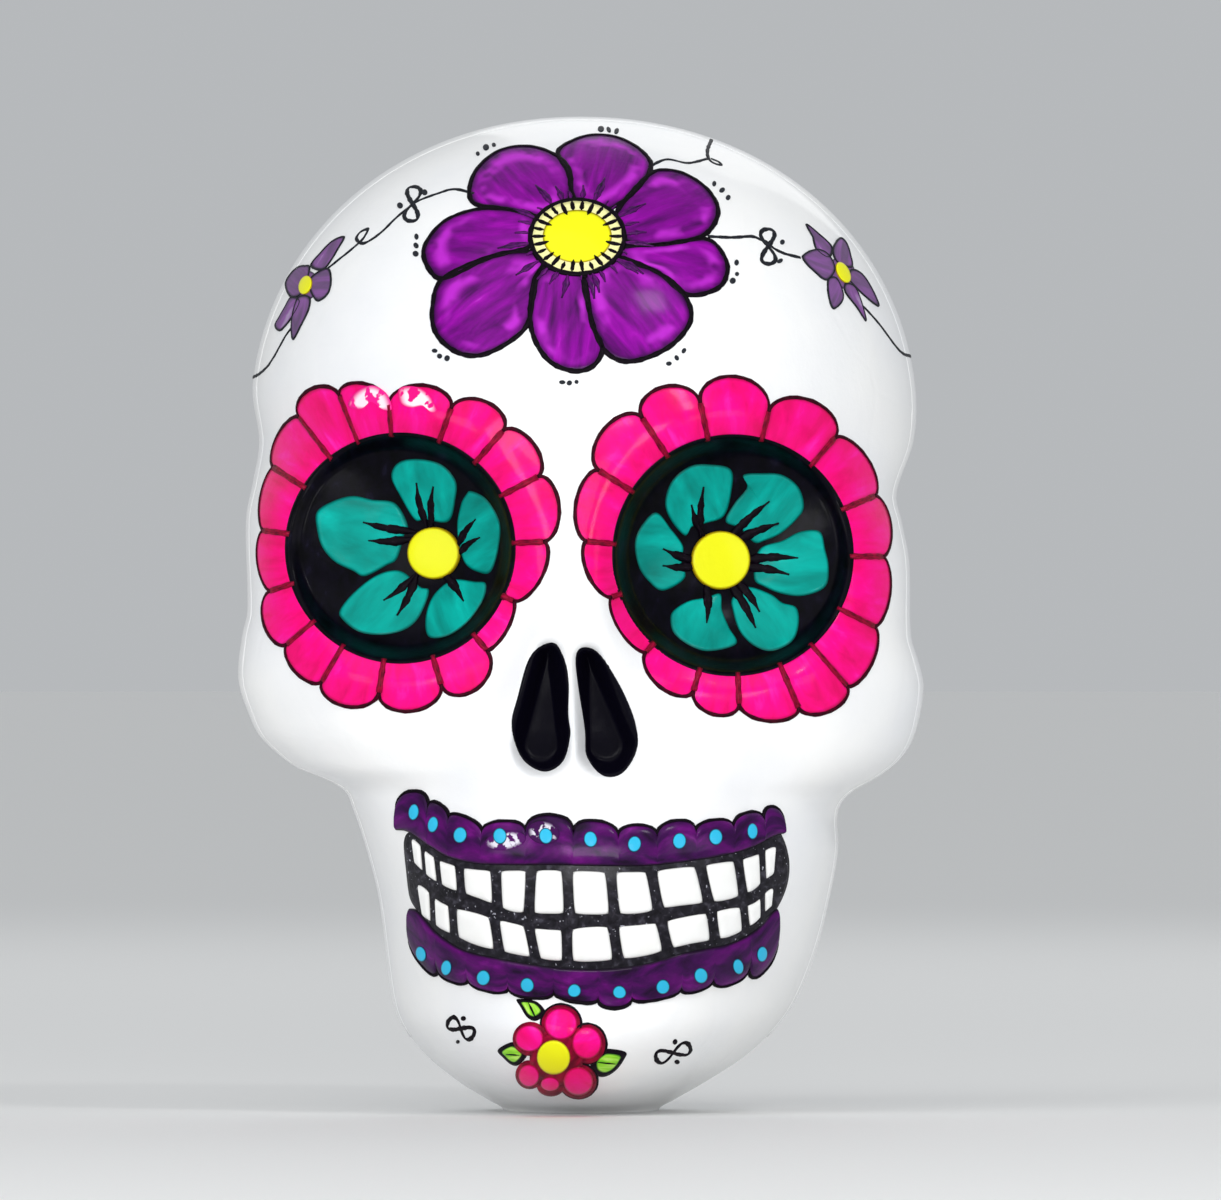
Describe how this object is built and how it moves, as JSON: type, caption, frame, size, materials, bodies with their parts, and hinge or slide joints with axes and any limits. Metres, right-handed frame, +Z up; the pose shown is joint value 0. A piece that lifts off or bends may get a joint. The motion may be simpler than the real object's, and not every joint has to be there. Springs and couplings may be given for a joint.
{
  "type": "painted papier-mache skull",
  "caption": "Hollow papier-mache calavera head in two moulded paper shells, with dished eye cups, pulp teeth and gums, paper seam strips and a flat closed neck.",
  "frame": {"origin": "on the table, under the middle of the head's box", "axes": "+Z up to the crown; the face looks along -Y; +X is the head's own left"},
  "size_m": [0.1939, 0.2111, 0.2809],
  "materials": {
    "painted_face": "gloss varnish over white paint",
    "painted_back": "gloss varnish over white paint",
    "painted_strip": "gloss varnish over white paint",
    "bare_paper": "matt, unpainted",
    "painted_cup": "gloss varnish over black paint",
    "teeth": "gloss varnish over white paint",
    "gums": "gloss varnish over purple paint",
    "card": "matt brown card"
  },
  "bodies": {
    "root": {"face_shell": "painted_face", "back_shell": "painted_back", "seam_strip_outer": "painted_strip", "seam_strip_inner": "bare_paper", "eye_cup_right": "painted_cup", "eye_cup_left": "painted_cup", "upper_teeth": "teeth", "lower_teeth": "teeth", "upper_gum": "gums", "lower_gum": "gums", "neck_ring": "card", "base_disc": "card"}
  },
  "joints": []
}
